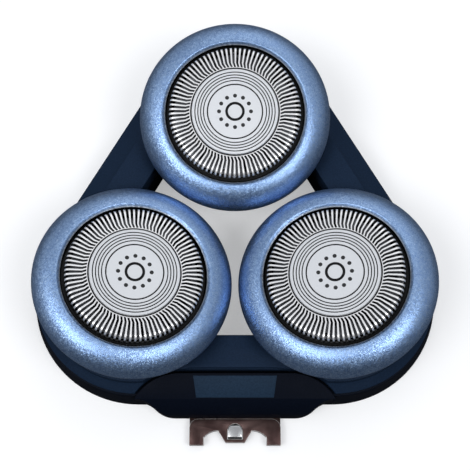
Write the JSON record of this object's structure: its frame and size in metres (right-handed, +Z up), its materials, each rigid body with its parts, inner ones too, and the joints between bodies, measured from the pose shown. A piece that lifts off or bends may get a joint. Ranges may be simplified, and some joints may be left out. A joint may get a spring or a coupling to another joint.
{
  "type": "rotary shaver head",
  "caption": "Rounded triangular shaver head with domed round heads in a ring that tilt inwards, slotted steel guards over turning cutters, and a folded bracket in front.",
  "frame": {"origin": "centre of the triangle of heads, on the frame's flat underside", "axes": "+Z up out of the guards, +Y towards the single rear head, -Y towards the bracket"},
  "size_m": [0.0688, 0.0713, 0.0194],
  "materials": {
    "blue_lacquer": "metallic flake blue lacquer, semi gloss",
    "black_plastic": "satin moulded",
    "navy_plastic": "fine matt moulded, very dark blue",
    "guard_steel": "turned bright steel",
    "disc_steel": "satin steel with fine concentric grooves",
    "blade_steel": "ground",
    "spring_steel": "bright rolled strip",
    "hub_plastic": "natural acetal",
    "grey_plastic": "moulded",
    "tinted_steel": "brown heat-tinted stamped steel",
    "screw_steel": "plated"
  },
  "bodies": {
    "frame": {"base_frame": "navy_plastic", "top_frame": "navy_plastic", "hinge_bracket": "tinted_steel", "catch_spring": "spring_steel", "frame_screws": "screw_steel", "bracket_rivets": "screw_steel", "rear_tilt_spring": "spring_steel", "left_tilt_spring": "spring_steel", "right_tilt_spring": "spring_steel"},
    "rear_head": {"rear_trim_ring": "blue_lacquer", "rear_head_cup": "black_plastic"},
    "rear_guard": {"rear_guard_cap": "guard_steel", "rear_guard_badge": "disc_steel"},
    "rear_cutter": {"rear_cutter_blades": "blade_steel", "rear_cutter_hub": "hub_plastic"},
    "rear_retainer": {"rear_retaining_ring": "grey_plastic", "rear_float_spring": "spring_steel"},
    "left_head": {"left_trim_ring": "blue_lacquer", "left_head_cup": "black_plastic"},
    "left_guard": {"left_guard_cap": "guard_steel", "left_guard_badge": "disc_steel"},
    "left_cutter": {"left_cutter_blades": "blade_steel", "left_cutter_hub": "hub_plastic"},
    "left_retainer": {"left_retaining_ring": "grey_plastic", "left_float_spring": "spring_steel"},
    "right_head": {"right_trim_ring": "blue_lacquer", "right_head_cup": "black_plastic"},
    "right_guard": {"right_guard_cap": "guard_steel", "right_guard_badge": "disc_steel"},
    "right_cutter": {"right_cutter_blades": "blade_steel", "right_cutter_hub": "hub_plastic"},
    "right_retainer": {"right_retaining_ring": "grey_plastic", "right_float_spring": "spring_steel"}
  },
  "joints": [
    {"name": "rear_head_tilt", "type": "hinge", "parent": "frame", "child": "rear_head", "pos_m": [0, 0.0202, 0.0066], "axis": [-1, 0, 0], "range_deg": [0, 14], "stiffness_Nm_per_rad": 0.004, "springref_deg": -17.19, "deforming": ["rear_tilt_spring"]},
    {"name": "rear_guard_float", "type": "slide", "parent": "rear_head", "child": "rear_guard", "axis": [0, 0.1908, -0.9816], "range_m": [0, 0.001], "stiffness_N_per_m": 150, "springref_m": -0.001, "deforming": ["rear_float_spring"]},
    {"name": "rear_cutter_spin", "type": "hinge", "parent": "rear_guard", "child": "rear_cutter", "pos_m": [0, 0.0202, 0.0066], "axis": [0, -0.1908, 0.9816], "continuous": true},
    {"name": "rear_retainer_turn", "type": "hinge", "parent": "rear_head", "child": "rear_retainer", "pos_m": [0, 0.0202, 0.0066], "axis": [0, -0.1908, 0.9816], "range_deg": [0, 30]},
    {"name": "left_head_tilt", "type": "hinge", "parent": "frame", "child": "left_head", "pos_m": [-0.01749, -0.0101, 0.0066], "axis": [0.5, -0.866, 0], "range_deg": [0, 14], "stiffness_Nm_per_rad": 0.004, "springref_deg": -17.19, "deforming": ["left_tilt_spring"]},
    {"name": "left_guard_float", "type": "slide", "parent": "left_head", "child": "left_guard", "axis": [-0.1652, -0.0954, -0.9816], "range_m": [0, 0.001], "stiffness_N_per_m": 150, "springref_m": -0.001, "deforming": ["left_float_spring"]},
    {"name": "left_cutter_spin", "type": "hinge", "parent": "left_guard", "child": "left_cutter", "pos_m": [-0.01749, -0.0101, 0.0066], "axis": [0.1652, 0.0954, 0.9816], "continuous": true},
    {"name": "left_retainer_turn", "type": "hinge", "parent": "left_head", "child": "left_retainer", "pos_m": [-0.01749, -0.0101, 0.0066], "axis": [0.1652, 0.0954, 0.9816], "range_deg": [0, 30]},
    {"name": "right_head_tilt", "type": "hinge", "parent": "frame", "child": "right_head", "pos_m": [0.01749, -0.0101, 0.0066], "axis": [0.5, 0.866, 0], "range_deg": [0, 14], "stiffness_Nm_per_rad": 0.004, "springref_deg": -17.19, "deforming": ["right_tilt_spring"]},
    {"name": "right_guard_float", "type": "slide", "parent": "right_head", "child": "right_guard", "axis": [0.1652, -0.0954, -0.9816], "range_m": [0, 0.001], "stiffness_N_per_m": 150, "springref_m": -0.001, "deforming": ["right_float_spring"]},
    {"name": "right_cutter_spin", "type": "hinge", "parent": "right_guard", "child": "right_cutter", "pos_m": [0.01749, -0.0101, 0.0066], "axis": [-0.1652, 0.0954, 0.9816], "continuous": true},
    {"name": "right_retainer_turn", "type": "hinge", "parent": "right_head", "child": "right_retainer", "pos_m": [0.01749, -0.0101, 0.0066], "axis": [-0.1652, 0.0954, 0.9816], "range_deg": [0, 30]}
  ]
}
